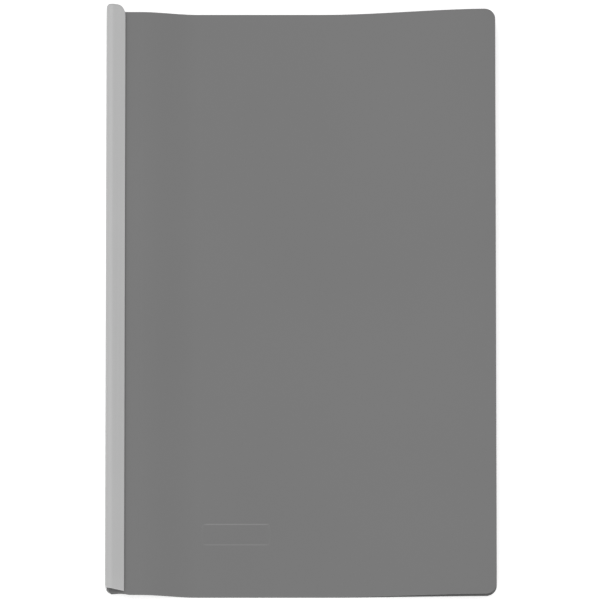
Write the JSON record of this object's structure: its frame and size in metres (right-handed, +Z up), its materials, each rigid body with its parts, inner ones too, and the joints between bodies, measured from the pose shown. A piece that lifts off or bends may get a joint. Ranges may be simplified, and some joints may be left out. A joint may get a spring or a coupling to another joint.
{
  "type": "slide-bar report cover",
  "caption": "Folded plastic report cover with a front and a back cover that swing open, clamped along its fold by a sliding spine bar.",
  "frame": {"origin": "centre of the whole outline, on the surface that the folder lies on", "axes": "+Z up through the front cover, +Y along the fold towards the bar's rounded lead-in, +X from the bar to the fore-edge"},
  "size_m": [0.2286, 0.3718, 0.0109],
  "materials": {
    "bar": "satin light grey extruded plastic",
    "sheet": "matte mid grey polypropylene sheet with a fine embossed grain"
  },
  "bodies": {
    "spine": {"spine_fold": "sheet"},
    "bar": {"slide_bar": "bar"},
    "front": {"front_cover": "sheet"},
    "back": {"back_cover": "sheet"}
  },
  "joints": [
    {"name": "front_cover_hinge", "type": "hinge", "parent": "spine", "child": "front", "pos_m": [-0.0942, 0, 0.00555], "axis": [0, -1, 0], "range_deg": [0, 150]},
    {"name": "back_cover_hinge", "type": "hinge", "parent": "spine", "child": "back", "pos_m": [-0.0942, 0, 0.00445], "axis": [0, 1, 0], "range_deg": [0, 150]},
    {"name": "bar_slide", "type": "slide", "parent": "spine", "child": "bar", "axis": [0, 1, 0], "range_m": [-0.375, 0.375]}
  ]
}
